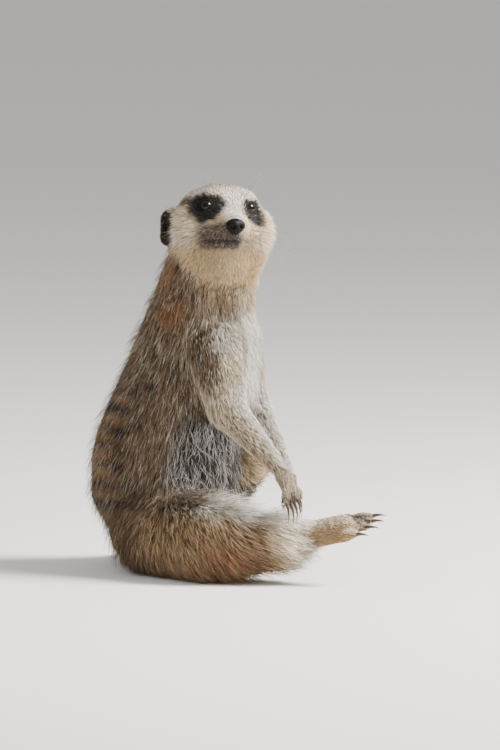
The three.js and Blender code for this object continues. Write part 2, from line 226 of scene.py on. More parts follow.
# The head's own frame: ahead, left and up from the eyes' middle, in millimetres.
HEAD_TURN, HEAD_NOD = math.radians(-47.2), math.radians(7.3)
eyes_middle = (centre_of("eye_left") + centre_of("eye_right")) / 2
head_left = (centre_of("eye_left") - centre_of("eye_right")).normalized()
ahead = Vector((math.cos(HEAD_NOD) * math.cos(HEAD_TURN), math.cos(HEAD_NOD) * math.sin(HEAD_TURN),
                math.sin(HEAD_NOD)))
ahead = (ahead - ahead.dot(head_left) * head_left).normalized()
HEAD_AXES = np.array([ahead, head_left, ahead.cross(head_left)])


def in_head(points):
    return (points - np.array(eyes_middle)) @ HEAD_AXES.T / MM


def from_head(vectors):
    return np.asarray(vectors, dtype=float) @ HEAD_AXES


def folded(points):
    """The same places with the left side laid over the right."""
    return np.column_stack([points[:, 0], np.abs(points[:, 1]), points[:, 2]])


def near(points, centre, radii):
    """1 at a place, falling to 0 at the surface of an ellipsoid round it."""
    away = (points - np.array(centre, dtype=float)) / np.array(radii, dtype=float)
    return 1 - step(0.0, 1.0, np.linalg.norm(away, axis=1))


def within(points, node, margin):
    low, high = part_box(node)
    low, high = np.array(low) - margin, np.array(high) + margin
    return np.all((points > low) & (points < high), axis=1)


skin = fused(FLESH + ["eye_left", "eye_right", "nose"], SWELL, "skin")
applied(skin, "REMESH", mode="VOXEL", voxel_size=VOXEL)
places = places_of(skin.data)
fine = np.zeros(len(places), dtype=bool)
for node in FLESH:
    if kind_of(node) in FINE:
        fine |= within(places, node, 2 * MM)
plain = skin.vertex_groups.new(name="plain")
plain.add([int(i) for i in np.flatnonzero(~fine)], 1.0, "REPLACE")
applied(skin, "DECIMATE", ratio=KEPT, vertex_group="plain", vertex_group_factor=1.0)
skin.vertex_groups.clear()
EYE, LIPS = (0.0, 14.6, 0.0), (16, 5, -18)
mirrored = folded(in_head(places_of(skin.data)))
refine(skin, (near(mirrored, EYE, (9, 9, 9)) > 0) | (near(mirrored, LIPS, (16, 15, 14)) > 0))
mirrored = folded(in_head(places_of(skin.data)))
refine(skin, near(mirrored, EYE, (7.5, 7.5, 7.5)) > 0)


def tell_regions(points):
    """Weight of each region at each point, from the nearest places on the CAD regions."""
    rng = np.random.default_rng(11)
    spots, labels = [], []
    for index, node in enumerate(REGIONS):
        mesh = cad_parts[node].data
        corner = places_of(mesh)[triangles_of(mesh)]
        area = areas_of(corner)
        count = int(area.sum() / SAMPLE ** 2)
        pick = rng.choice(len(area), count, p=area / area.sum())
        u, v = scattered(rng, count)
        first, second, third = corner[pick].transpose(1, 0, 2)
        spots.extend(first + u * (second - first) + v * (third - first))
        labels += [index] * count
    tree = tree_of(spots)
    weights = np.zeros((len(points), len(REGIONS)))
    for i, point in enumerate(points):
        for _, spot, distance in tree.find_n(point, 4):
            weights[i, labels[spot]] += math.exp(-distance / BLUR)
    return weights / np.maximum(weights.sum(1, keepdims=True), 1e-9)


def share(*kinds):
    """How much of each point of the skin belongs to these kinds of part."""
    return region @ np.array([1.0 if kind_of(n) in kinds else 0.0 for n in REGIONS])


outline = places_of(skin.data)
edges = edges_of(skin.data)
region = eased(tell_regions(outline), edges, 6, 0.5)
FIRM = {"head": 0.5, "ear": 0.25, "hand": 0.06, "foot": 0.08, "tail": 0.4, "forearm": 0.5}
give = 0.5 * (region @ np.array([FIRM.get(kind_of(n), 1.0) for n in REGIONS]))
outline = eased(outline, edges, 12, give)
move_to(skin.data, outline)

mirrored = folded(in_head(outline))
coat = region @ np.array([COAT[kind_of(n)] for n in REGIONS], dtype=float)
deep, tuft_long, tuft_wide, tuft_lift, tuft_count, tuft_clump, tuft_stray = coat.T
muzzle = step(0, 0.55, near(mirrored, (17, 0, -15), (24, 17, 19)))
eye_round = step(0, 0.5, near(mirrored, (1, 14.5, 0), (12, 12, 11)))
thin = (1 - 0.75 * muzzle) * (1 - 0.85 * eye_round)
deep = eased((deep * thin * step(-1, 5, outline[:, 2] / MM))[:, None], edges, 8, 0.5)[:, 0]
sunk = outline - normals_of(skin.data) * deep[:, None] * MM
sunk = eased(sunk, edges, 5, give)

# Lips: a closed mouth line that rises to its corners, and the groove under the nose.
MOUTH_DROP, MOUTH_RISE = -22.4, 0.0035
ROLL_HIGH, LINE_DEEP, CLEFT_DEEP = 0.4, 0.7, 0.5
local = in_head(sunk)
side = np.abs(local[:, 1])
mouth_level = MOUTH_DROP + MOUTH_RISE * side ** 2
lip_reach = step(19, 15, side) * step(1, 5, local[:, 0])
mouth_line = bump_at(local[:, 2], mouth_level, 0.75) * lip_reach
lip_roll = bump_at(local[:, 2], mouth_level + 2.0, 1.5) * lip_reach
cleft = bump_at(side, 0, 0.55) * step(-15, -17, local[:, 2])
cleft = cleft * step(MOUTH_DROP - 0.8, MOUTH_DROP, local[:, 2])
cleft = cleft * step(10, 14, local[:, 0])
push = (ROLL_HIGH * lip_roll - LINE_DEEP * mouth_line - CLEFT_DEEP * cleft) * MM
sunk = sunk + normals_of(skin.data) * push[:, None]

# The bed of the nose: the hide dips under the nose pad all round it.
BED, BED_EDGE = 0.58, 1.4  # as shares of the nose pad's half size
nose_points = in_head(places_of(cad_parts["nose"].data))
nose_low, nose_high = nose_points.min(0), nose_points.max(0)
nose_half, nose_middle = (nose_high - nose_low) / 2, (nose_high + nose_low) / 2
local = in_head(sunk)
nose_span = np.linalg.norm((local - nose_middle) / nose_half, axis=1)
bedded = BED + (1 - BED) * step(1.0, BED_EDGE, nose_span)
dipped = nose_middle + (local - nose_middle) * bedded[:, None]
local = np.where(nose_span[:, None] < BED_EDGE, dipped, local)
sunk = np.array(eyes_middle) + from_head(local) * MM

# Lids: the hide closes round each eyeball to a nearly round opening with a thick rim.
LID = 0.5 * MM
OPEN_LONG, OPEN_HIGH = 3.9 * MM, 3.35 * MM
UNDER, REACH, TURN = 0.86, 2.6, 1.9  # hide under the lid, how far out and round the lids shape it
GAZE = {"right": (0.86, -0.48, 0.14), "left": (0.86, 0.48, 0.14)}
FAR_OFF = 99.0  # the gap given to places away from the eyes


def eye_frame(name):
    """An eyeball's middle and radius, the way it looks, and its aside and over axes."""
    low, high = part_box("eye_" + name)
    axis = unit(from_head([GAZE[name]]))[0]
    aside = unit(np.cross([HEAD_AXES[2]], [axis]))[0]
    ball = (high - low).length / math.sqrt(3) / 2
    return np.array((low + high) / 2), ball, axis, aside, np.cross(axis, aside)


lid_gap = np.full(len(sunk), FAR_OFF)
for name in GAZE:
    middle, ball, axis, aside, over = eye_frame(name)
    way = sunk - middle
    out = np.linalg.norm(way, axis=1)
    turn = np.arccos(np.clip(way @ axis / np.maximum(out, 1e-9), -1, 1))
    across, along = way @ aside, way @ over
    flat = np.maximum(np.hypot(across, along), 1e-9)
    across, along = across / flat * turn * ball, along / flat * turn * ball
    gap = (np.hypot(across / OPEN_LONG, along / OPEN_HIGH) - 1) * (OPEN_LONG + OPEN_HIGH) / 2
    inside, under = out < ball * REACH, ball * UNDER
    rim = under + (ball + LID - under) * step(-0.45 * MM, 0.15 * MM, gap)
    natural = np.maximum(out, ball + LID)
    settled = rim + (natural - rim) * step(0.4 * MM, 3.2 * MM, gap)
    target = np.where(inside & (turn < TURN), settled, out)
    sunk = middle + way * (target / np.maximum(out, 1e-9))[:, None]
    lid_gap = np.minimum(lid_gap, np.where(inside, gap / MM, FAR_OFF))

# Ear cups: a hollow in the outward face of each small round ear.
CUP_OUT, CUP_WIDE, CUP_DEEP = 2.0, 8, 3.2
for name, hand in (("left", 1.0), ("right", -1.0)):
    outward = unit(from_head([(0.35, hand, 0.0)]))[0]
    way = (sunk - np.array(centre_of("ear_" + name))) / MM
    facing = step(0.1, 0.8, normals_of(skin.data) @ outward)
    cup = near(way, CUP_OUT * outward, (CUP_WIDE,) * 3) * facing * share("ear")
    sunk = sunk - outward * (CUP_DEEP * MM * cup)[:, None]

sunk[:, 2] = np.maximum(sunk[:, 2], SKIN_LOW)
move_to(skin.data, sunk)


# Markings, from the place on the body and the way it faces: a mid colour for each place, one for
# the hair's root and one for its tip, and how grizzled the hair is. Skin and coat both take them.
def linear(*colour):
    c = np.array(colour, dtype=float)
    return np.where(c <= 0.04045, c / 12.92, ((c + 0.055) / 1.055) ** 2.4)


SPINE_Z = (-14, 10, 71, 115, 157, 188, 215, 238)
SPINE_X = (10, 5, 0, 12, 22.5, 30, 36, 38)
BROWN = linear(0.36, 0.29, 0.22)
UMBER = linear(0.155, 0.115, 0.09)
FAWN = linear(0.61, 0.50, 0.375)
RUST = linear(0.54, 0.345, 0.185)
CREAM = linear(0.90, 0.78, 0.625)
WHITE = linear(0.965, 0.95, 0.92)
SILVER = linear(0.74, 0.70, 0.65)
SLATE = linear(0.20, 0.185, 0.18)
BLACK = linear(0.055, 0.05, 0.05)
MOUSE = linear(0.42, 0.345, 0.29)


def wander(points, size, seed):
    """A smooth random value for each point, of about the size given in millimetres."""
    shift = Vector((seed * 7.3, seed * 3.1, -seed * 5.7))
    return np.array([noise.noise(Vector(p) / (size * MM) + shift) for p in points])


X, Y, Z = outline.T / MM
facing_x, facing_y, facing_z = normals_of(skin.data).T
beside = folded(outline / MM)
spine_x = np.interp(Z, SPINE_Z, SPINE_X)
round_body = np.degrees(np.arctan2(np.abs(Y), spine_x - X))
broad, patchy, streaky = wander(outline, 16, 1), wander(outline, 7, 2), wander(outline, 4, 3)
round_body = round_body + 9 * broad
mid = np.tile(BROWN, (len(outline), 1))
root = np.tile(UMBER, (len(outline), 1))
tip = np.tile(FAWN, (len(outline), 1))
grizzle = np.full(len(outline), 1.0)


def paint(mask, colour, below, above, mixed):
    global mid, root, tip, grizzle
    m = np.clip(mask, 0, 1)[:, None]
    mid = mid + (colour - mid) * m
    root = root + (below - root) * m
    tip = tip + (above - tip) * m
    grizzle = grizzle + (mixed - grizzle) * m[:, 0]


body = share("trunk", "thigh", "neck")
trunk = share("trunk")

# The back darkens down the spine; the flanks are sandier; bars cross the back and rump.
paint(body * step(55, 20, round_body) * 0.5, BROWN * 0.75, UMBER, BROWN, 1.0)
paint(trunk * bump_at(round_body, 105, 26) * step(140, 90, Z) * 0.55,
      FAWN * 0.85, UMBER, FAWN, 0.8)
BAR_STEP = 12.5  # millimetres from bar to bar
bar_wave = np.sin((Z + 5 * broad + 3.2 * patchy - 0.10 * np.abs(Y)) * 2 * np.pi / BAR_STEP)
bars = step(0.25, 0.65, bar_wave + 1.3 * patchy) * step(112, 66, round_body)
bars = bars * step(140, 118, Z) * step(14, 26, Z) * share("trunk", "thigh")
between = step(0.0, -0.8, bar_wave) * step(80, 40, round_body) * step(130, 100, Z)
paint(between * body * 0.8, linear(0.70, 0.54, 0.37), UMBER, FAWN, 0.4)
paint(bars, linear(0.105, 0.078, 0.062), UMBER * 0.4, linear(0.15, 0.11, 0.085), 0.08)

# Breast white between grey stripes, the belly thinly haired and slate dark.
breast = step(146, 164, round_body) * step(98, 112, Z) * share("trunk", "neck")
edge_grey = bump_at(round_body, 138, 14) * step(120, 140, Z) * step(182, 170, Z)
paint(edge_grey * body * 0.7, SILVER * 0.7, SLATE, WHITE, 0.9)
# Painted light: the breast's white carried up the far side of the throat, where sunlight falls on it.
sunlit_throat = step(160, 172, round_body) * step(-14, -4, Y) * step(168, 180, Z)
breast = np.maximum(breast, sunlit_throat * step(212, 200, Z) * share("neck", "head"))
paint(breast, WHITE, SILVER * 0.9, WHITE, 0.1)
stripe = bump_at(np.abs(Y + 3), 6.5, 2.2) * step(172, 164, Z) * step(128, 136, Z)
paint(stripe * breast * 0.75, linear(0.42, 0.38, 0.34), SLATE, SILVER, 0.6)
belly = step(113, 134, round_body + 5 * patchy) * step(110, 95, Z) * trunk
paint(belly, SLATE * 1.1, BLACK, linear(0.30, 0.28, 0.27), 0.6)

# Neck: rust on the sides behind the cheek, tan throat that pales to the chin, with a dark streak of painted
# shadow under the chin.
local = in_head(outline)
rust = np.maximum(near(beside, (15, 25, 194), (17, 15, 20)), near(beside, (20, 30, 171), (24, 17, 17)))
paint(1.15 * rust * share("neck", "trunk", "head"), RUST, UMBER * 2.2, FAWN, 0.5)
throat = step(96, 128, round_body) * step(160, 178, Z) * share("neck")
paint(throat * 0.9, linear(0.64, 0.53, 0.385), UMBER * 1.3, CREAM * 0.85, 0.9)
fading = step(-58, -36, local[:, 2] + 5 * patchy + 4 * streaky) * step(84, 116, round_body)
paint(fading * share("neck") * 0.85, linear(0.82, 0.72, 0.55), CREAM * 0.5, CREAM, 0.5)
# Painted shadow: a dark streak down the middle of the throat, below the chin.
chin_shadow_streak = bump_at(local[:, 1] + 1.0, 0, 4.2) * step(-31, -38, local[:, 2])
chin_shadow_streak = chin_shadow_streak * step(-70, -60, local[:, 2])
paint(chin_shadow_streak * 0.9 * step(120, 150, round_body), linear(0.40, 0.31, 0.24), UMBER, MOUSE, 0.6)

# Arms grizzled cream, brown at the shoulder, white in front (partly painted sunlight), painted shade inside
# the near arm, pale grey inside the far; the hands pale.
arm = share("upper", "forearm")
turned_in = np.where(Y < 2, 1, -1) * facing_y
inner = step(0.2, 0.7, turned_in)
high_arm = step(104, 136, Z + 0.5 * (44 - X))
paint(arm * 0.95, linear(0.79, 0.705, 0.565), MOUSE * 0.4, linear(0.95, 0.905, 0.82), 1.0)
not_front = step(0.65, 0.25, facing_x)
paint(arm * high_arm * not_front, BROWN * 1.15, UMBER, FAWN, 1.0)
# White on the forward faces of the arms, partly their pale fur and partly painted sunlight on the far
# shoulder.
paint(arm * step(0.35, 0.8, facing_x) * step(140, 112, Z) * 0.8,
      WHITE, SILVER * 0.6, WHITE, 0.4)
paint(arm * step(-0.2, -0.7, facing_x) * step(112, 96, Z) * 0.7,
      linear(0.74, 0.60, 0.41), MOUSE * 0.6, CREAM, 0.5)
near_side = step(4, -4, Y)
# Painted shade: grey on the near arm's inner side, where it lies against the breast.
paint(arm * inner * 0.75 * near_side, SILVER * 0.62, SLATE, SILVER, 0.4)
paint(arm * inner * 0.85 * (1 - near_side), SILVER * 1.1, SLATE, WHITE, 0.6)
whorl = near(beside, (60, 27, 155), (17, 17, 20))
paint(1.3 * whorl * share("upper", "trunk", "neck"), SILVER, SLATE * 1.5, WHITE, 0.9)
paint(share("hand"), linear(0.70, 0.62, 0.51), UMBER, WHITE, 0.8)

# Thighs brown at the hip, ochre and rust below, pale at the tip of the knee with painted light over its
# top; the feet pale ochre.
thigh = share("thigh", "shank")
right_leg = thigh * step(2, -6, Y)
left_leg = thigh * step(-2, 6, Y)
top_face = step(0.45, 0.85, facing_z)
paint(thigh * step(8, 26, X) * 0.85, linear(0.55, 0.42, 0.275), UMBER * 1.2, CREAM * 0.85, 0.9)
paint(right_leg * near(outline / MM, (76, -64, 16), (34, 22, 22)) * 1.4,
      linear(0.50, 0.29, 0.13), UMBER, FAWN * 0.85, 0.6)
# Painted shade: a dark line in the fold where the flank meets the near thigh.
flank_fold_shade = 4 * trunk * share("thigh") * step(0, -8, Y) * step(2, 14, X)
paint(step(0.35, 0.9, flank_fold_shade) * 0.7, linear(0.22, 0.175, 0.145), BLACK, MOUSE * 0.8, 0.6)
# Grey hair over the top of the near thigh, darkened as painted shade where the thigh meets the belly.
thigh_top_hair_and_shade = step(0.35, 0.75, facing_z) * bump_at(X, 40, 20)
paint(right_leg * thigh_top_hair_and_shade * 0.75, linear(0.36, 0.33, 0.31), BLACK, SILVER, 1.2)
# Painted light: white over the upward faces of the near knee, where the light from above falls.
lit_knee_top = top_face * step(50, 70, X)
knee_end = step(100, 118, X + 0.3 * (Z - 20))
paint(right_leg * knee_end, linear(0.90, 0.82, 0.68), CREAM * 0.5, WHITE, 0.5)
paint(right_leg * lit_knee_top * (0.85 + 0.5 * patchy), WHITE, CREAM * 0.6, WHITE, 0.3)
paint(left_leg * step(16, 30, X), linear(0.70, 0.61, 0.45), MOUSE * 0.7, CREAM * 0.9, 0.45)
paint(left_leg * step(12, 24, X) * step(58, 50, Z) * step(50, 40, Y),
      SLATE, BLACK, SILVER * 0.5, 0.8)
feet = share("foot")
paint(feet, linear(0.71, 0.58, 0.40), MOUSE * 0.6, CREAM * 0.9, 0.4)
paint(feet * step(0.1, 0.7, facing_z) * 0.85,
      linear(0.87, 0.79, 0.66), MOUSE, WHITE, 0.4)

# Painted shade in the gaps between the digits of each paw, along the lines from it to the claws.
DIGIT_LONG = {"hand": 15, "foot": 25}  # how far the gaps run into a paw, in millimetres
GAP_WIDE = 1.6
for limb, long in DIGIT_LONG.items():
    for flank in ("left", "right"):
        own = [n for n in sorted(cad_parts) if n.startswith(f"claw_{limb}_{flank}")]
        claws_at = np.array([centre_of(n) for n in own])
        heel = np.array(centre_of(f"{limb}_{flank}"))
        for one, other in zip(claws_at[:-1], claws_at[1:]):
            mouth_of_gap = (one + other) / 2
            along_gap = unit((heel - mouth_of_gap)[None])[0]
            reach = np.clip((outline - mouth_of_gap) @ along_gap, 0, long * MM)
            across_gap = unit((other - one)[None])[0]
            this_paw = region[:, REGIONS.index(f"{limb}_{flank}")]
            gap_shade = bump_at(((outline - mouth_of_gap) @ across_gap) / MM, 0, GAP_WIDE) * this_paw
            paint(gap_shade * step(long, long * 0.6, reach / MM) * 0.9,
                  linear(0.085, 0.065, 0.055), BLACK, UMBER * 0.7, 0.1)
            if limb == "hand":
                to_gap = np.linalg.norm(outline - mouth_of_gap, axis=1) / MM
                finger = step(15, 8, to_gap) * this_paw
                paint(finger * 0.5, linear(0.40, 0.335, 0.28), UMBER, MOUSE * 1.2, 0.6)

# Tail fawn and grizzled above, with a dark end.
tail = share("tail")
to_tip = step(0.0, 1.0, (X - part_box("tail_tip")[0].x / MM) / 22) * (Y > 90)
paint(tail * 0.9, linear(0.57, 0.44, 0.305), UMBER * 1.2, FAWN, 0.9)
paint(tail * to_tip, linear(0.13, 0.085, 0.065), BLACK, linear(0.22, 0.13, 0.09), 0.4)

# Head: fawn crown, grizzled brow, white bridge, cream cheeks, dark muzzle and eye patches.
ahead_of, left_of, above = local.T
aside_of = np.abs(left_of)
head = share("head", "ear")
face = share("head")
paint(head, CREAM, CREAM * 0.5, WHITE, 0.25)
paint(head * step(-8, -30, ahead_of) * step(-22, -8, above),
      linear(0.62, 0.50, 0.38), UMBER, FAWN, 0.9)
crown = step(8, 15, above) * step(9, -3, ahead_of)
paint(face * crown * 0.9, linear(0.66, 0.52, 0.41), UMBER * 1.3, WHITE, 1.0)
brow = bump_at(above, 8.5, 5.5) * step(-22, -6, ahead_of)
paint(face * brow * 0.85, linear(0.90, 0.85, 0.78), MOUSE * 0.8, WHITE, 0.7)
bridge = step(8.5, 4, aside_of) * step(-1, 6, ahead_of) * step(14, 7, above)
paint(face * bridge, linear(0.93, 0.90, 0.85), MOUSE, WHITE, 0.35)
jowl = step(12, 20, aside_of) * step(-4, -12, above) * step(-30, -4, ahead_of)
paint(face * jowl * 0.8, linear(0.90, 0.815, 0.68), CREAM * 0.6, WHITE, 0.15)
level = above - MOUTH_RISE * aside_of ** 2
under_chin = step(MOUTH_DROP - 3.5, MOUTH_DROP - 6.5, level)
paint(face * under_chin * 0.9, linear(0.79, 0.67, 0.49), CREAM * 0.5, CREAM, 0.2)
# Painted light: the far side of the muzzle is left paler where sunlight falls on it; the snout's dark, the
# lips and the lip line are weakened there.
sunlit_far_muzzle = step(2, 8, left_of)
snout = step(-5.0, -11.5, above + 0.18 * aside_of + 1.8 * patchy)
snout = snout * step(MOUTH_DROP - 6.2, MOUTH_DROP - 4.2, level + 0.8 * patchy)
snout = snout * step(1.5, 7.0, ahead_of + 1.5 * patchy) * step(23, 18, aside_of)
snout = snout * (1 - 0.8 * sunlit_far_muzzle)
paint(face * snout * 0.95, linear(0.40, 0.335, 0.285), UMBER * 0.8, linear(0.58, 0.52, 0.46), 1.0)
lips = bump_at(level, MOUTH_DROP - 1.2, 4.2) * lip_reach * (1 - 0.75 * sunlit_far_muzzle)
paint(face * lips * 0.85, linear(0.20, 0.145, 0.115), UMBER * 0.7, MOUSE, 0.7)
lip_line = face * bump_at(level, MOUTH_DROP, 0.8) * lip_reach
paint(lip_line * 0.5 * (1 - 0.7 * sunlit_far_muzzle), linear(0.10, 0.07, 0.06), BLACK, UMBER, 0.1)
slant = np.column_stack([-0.574 * ahead_of + 0.819 * aside_of, above, 0 * above])
PATCH = (11.1, 0.4)  # the patch's middle along the slant of the face and in height
far = left_of > 0
wide = np.where(slant[:, 0] > PATCH[0], np.where(far, 9.5, 10.4), np.where(far, 12.2, 14.6)) + 1.2 * streaky
high = np.where(above > PATCH[1], np.where(far, 6.8, 8.0), np.where(far, 12.0, 11.2)) + 1.2 * streaky
patch = step(1.12, 0.86, np.hypot((slant[:, 0] - PATCH[0]) / wide, (above - PATCH[1]) / high))
patch = patch * step(-14, -6, ahead_of + 4)
tail_brown = near(np.column_stack([slant[:, 0], above]), (26, 3.0), (9.5, 6.0))
paint(face * np.where(far, 0.5, 1.5) * tail_brown, linear(0.46, 0.32, 0.20), UMBER, MOUSE, 0.5)
paint(face * patch, linear(0.07, 0.058, 0.054), BLACK * 0.8, linear(0.085, 0.072, 0.066), 0.05)
paint(face * step(1.1, 0.2, lid_gap), linear(0.03, 0.028, 0.03), BLACK, BLACK, 0)
ears = share("ear")
ear_hollow, over_ear = np.zeros((2, len(outline)))
for name in ("left", "right"):
    ear_middle = in_head(np.array([centre_of("ear_" + name)]))[0]
    round_ear = near(local, ear_middle + (6, 0, -2), (16, 13, 13))
    ear_hollow = np.maximum(ear_hollow, step(0.05, 0.35, round_ear))
    top_of_ear = near(local, ear_middle + (2, 0, 10), (13, 10, 7))
    over_ear = np.maximum(over_ear, step(0, 0.4, top_of_ear))
paint(head * ear_hollow, linear(0.10, 0.08, 0.075), BLACK, MOUSE, 0.3)
paint(face * over_ear * 0.8, linear(0.72, 0.62, 0.50), UMBER, WHITE, 0.8)
paint(ears, linear(0.10, 0.08, 0.075), BLACK, linear(0.17, 0.13, 0.11), 0.3)
mid = np.clip(mid * (1 + 0.22 * broad + 0.16 * patchy)[:, None], 0, 1)
tip = np.clip(tip, 0, 1)


def tinted(mesh, colours):
    layer = mesh.color_attributes.new("tint", "FLOAT_COLOR", "POINT")
    rgba = np.ones((len(colours), 4), dtype=np.float32)
    rgba[:, :3] = colours
    layer.data.foreach_set("color", rgba.ravel())


hide = mid * 0.62 + root * 0.38
tinted(skin.data, np.where((face * thin)[:, None] > 0.5, mid * 0.9, hide * 0.8))


def new_material(name):
    material = bpy.data.materials.new(name)
    material.use_nodes = True
    return material, material.node_tree, material.node_tree.nodes["Principled BSDF"]


def wire(tree, *joints):
    """Joins sockets: each joint is a node, its output, the next node and its input."""
    for source, output, target, into in joints:
        tree.links.new(source.outputs[output], target.inputs[into])


def made(tree, kind, **inputs):
    """A new node with these inputs."""
    node = tree.nodes.new("ShaderNode" + kind)
    for key, value in inputs.items():
        node.inputs[key].default_value = value
    return node


def hair_grain():
    """Fine hair: a shade that varies from hair to hair, and the height of the hairs."""
    group = bpy.data.node_groups.new("hair grain", "ShaderNodeTree")
    ways = {"Fineness": "INPUT", "Contrast": "INPUT", "Shade": "OUTPUT", "Height": "OUTPUT"}
    for name, way in ways.items():
        group.interface.new_socket(name=name, in_out=way, socket_type="NodeSocketFloat")
    given, put = group.nodes.new("NodeGroupInput"), group.nodes.new("NodeGroupOutput")
    place = made(group, "TexCoord")
    stretch = made(group, "Mapping", Scale=(1, 1, 0.28))
    fine_noise = made(group, "TexNoise", Detail=3)
    spread = made(group, "MapRange", **{"From Min": 0.3, "From Max": 0.7})
    low = made(group, "Math")
    low.operation = "SUBTRACT"
    low.inputs[0].default_value = 1.0
    wire(group, (place, "Object", stretch, "Vector"), (stretch, "Vector", fine_noise, "Vector"),
         (given, "Fineness", fine_noise, "Scale"), (fine_noise, "Fac", spread, "Value"),
         (given, "Contrast", low, 1), (low, "Value", spread, "To Min"),
         (spread, "Result", put, "Shade"), (fine_noise, "Fac", put, "Height"))
    return group


GRAIN = hair_grain()


def hair_material(name, fineness, contrast, rough, relief, sheen=0.0):
    """Hair or hide: the tint of each place, varied by the grain, over a soft rough surface."""
    material, tree, shader = new_material(name)
    tint = made(tree, "Attribute")
    tint.attribute_name = "tint"
    grain = made(tree, "Group")
    grain.node_tree = GRAIN
    grain.inputs["Fineness"].default_value = fineness
    grain.inputs["Contrast"].default_value = contrast
    shaded = made(tree, "VectorMath")
    shaded.operation = "SCALE"
    wire(tree, (tint, "Color", shaded, 0), (grain, "Shade", shaded, "Scale"),
         (shaded, "Vector", shader, "Base Color"))
    shader.inputs["Roughness"].default_value = rough
    shader.inputs["Specular IOR Level"].default_value = 0.25
    shader.inputs["Sheen Weight"].default_value = sheen
    if relief:
        bump = made(tree, "Bump", Strength=0.5, Distance=relief)
        wire(tree, (grain, "Height", bump, "Height"), (bump, "Normal", shader, "Normal"))
    return material


surfaced(skin, hair_material("hide", 1500, 0.35, 0.8, 0.0006))
bpy.context.view_layer.objects.active = skin
skin.select_set(True)
bpy.ops.object.mode_set(mode="EDIT")
bpy.ops.mesh.select_all(action="SELECT")
bpy.ops.uv.smart_project(angle_limit=math.radians(66), island_margin=0.002)
bpy.ops.object.mode_set(mode="OBJECT")
skin.data.uv_layers[0].name = "OFBake"
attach(skin, "root")
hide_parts(*FLESH)

# ---- Coat ----
# Guard hair over the whole skin, in thin pointed locks rooted in it: long and grizzled on the
# back and thighs, short and close on the face and limbs. Each lock follows the lie of the hair.

SHARE = 1.0
rng = np.random.default_rng(2024)
# Where the hair of each part points, in the world's axes. Head, ears and tail have rules below.
LIMB_LIE = {
    "upper_arm_right": (0.40, -0.38, -0.85), "forearm_right": (0.76, -0.20, -0.62),
    "hand_right": (0.45, -0.04, -0.9), "thigh_right": (0.62, -0.28, -0.70),
    "shank_right": (0.92, 0.05, -0.38), "foot_right": (0.95, 0.18, 0.2),
    "upper_arm_left": (0.22, 0.15, -0.9), "forearm_left": (0.55, -0.28, -0.78),
    "hand_left": (0.30, -0.12, -0.9), "thigh_left": (0.75, 0.10, -0.2),
    "shank_left": (-0.5, 0.2, -0.85), "foot_left": (1.0, 0.05, -0.05),
    "neck": (-0.15, 0.0, -1.0), "trunk": (-0.16, 0.0, -1.0),
}
TAIL_ROUTE = np.array([(-30, 4, 18), (-43, 26, 11), (-49, 58, 8), (-40, 93, 7.4), (-12, 119, 6.6),
                       (22, 124, 5.8), (44, 104, 5)]) * MM
surface = places_of(skin.data)
out_of = normals_of(skin.data)
edges = edges_of(skin.data)
lie = np.zeros_like(surface)
for index, node in enumerate(REGIONS):
    if kind_of(node) == "head":
        way = unit(surface - np.array(centre_of("nose")))
        way = way + np.array((0, 0, -0.35)) * step(4, -14, above)[:, None]
    elif kind_of(node) == "ear":
        way = unit(surface - np.array(centre_of(node)) + from_head([(-6, 0, -5)])[0] * MM)
        way = way + from_head([(-0.5, 0, 0.3)])[0]
    elif kind_of(node) == "tail":
        steps = np.linspace(0, len(TAIL_ROUTE) - 1, 60)
        route = np.column_stack([np.interp(steps, range(len(TAIL_ROUTE)), c) for c in TAIL_ROUTE.T])
        ways = unit(np.gradient(route, axis=0))
        gaps = np.linalg.norm(surface[:, None, :] - route[None], axis=2)
        way = ways[gaps.argmin(1)]
    else:
        way = np.tile(np.array(LIMB_LIE[node]), (len(surface), 1))
    lie += way * region[:, index:index + 1]
near_hip = share("thigh") * step(42, 12, X)
lie = lie + near_hip[:, None] * np.array((-0.55, 0.1, -0.4))
for _ in range(6):
    lie = lie - (lie * out_of).sum(1, keepdims=True) * out_of
    lie = eased(unit(lie), edges, 3, 0.5)
lie = unit(lie - (lie * out_of).sum(1, keepdims=True) * out_of)

# How the coat varies within the parts.
on_face = face * np.clip(np.maximum(muzzle, eye_round), 0, 1)
tuft_long = tuft_long * (1 - 0.58 * on_face) * (1 + 0.25 * share("thigh") * step(60, 90, X))
cheek_hair = (1 - ear_hollow) * step(16, 25, aside_of) * step(4, -8, above)
tuft_long = tuft_long * (1 + 0.5 * face * cheek_hair)
tuft_long = tuft_long * (1 - 0.4 * face * ear_hollow) * (1 + 0.9 * face * over_ear) * (1 - 0.45 * belly)
tuft_wide = tuft_wide * (1 - 0.25 * on_face) * (1 - 0.35 * belly)
tuft_count = tuft_count * (1 + 0.35 * on_face) * (1 - 0.35 * belly)
tuft_count = tuft_count * step(0.5, 1.6, lid_gap) * (1 - 0.9 * lip_line)
nose_away = np.linalg.norm(in_head(surface) - in_head(np.array([centre_of("nose")])), axis=1)
tuft_count = tuft_count * step(5.0, 6.2, nose_away)
tuft_count = tuft_count * np.where((surface[:, 2] < 3 * MM) & (out_of[:, 2] < -0.5), 0.0, 1.0)
ruff = face * step(17, 25, aside_of) * step(4, -6, above) * (1 - ear_hollow)
knee_left = left_leg * step(16, 30, X)
tuft_long = tuft_long * (1 - 0.5 * knee_left)
tuft_lift = tuft_lift + 22 * breast + 24 * ruff - 8 * on_face - 8 * knee_left + 8 * face * over_ear
tuft_stray = tuft_stray + 18 * belly + 6 * breast

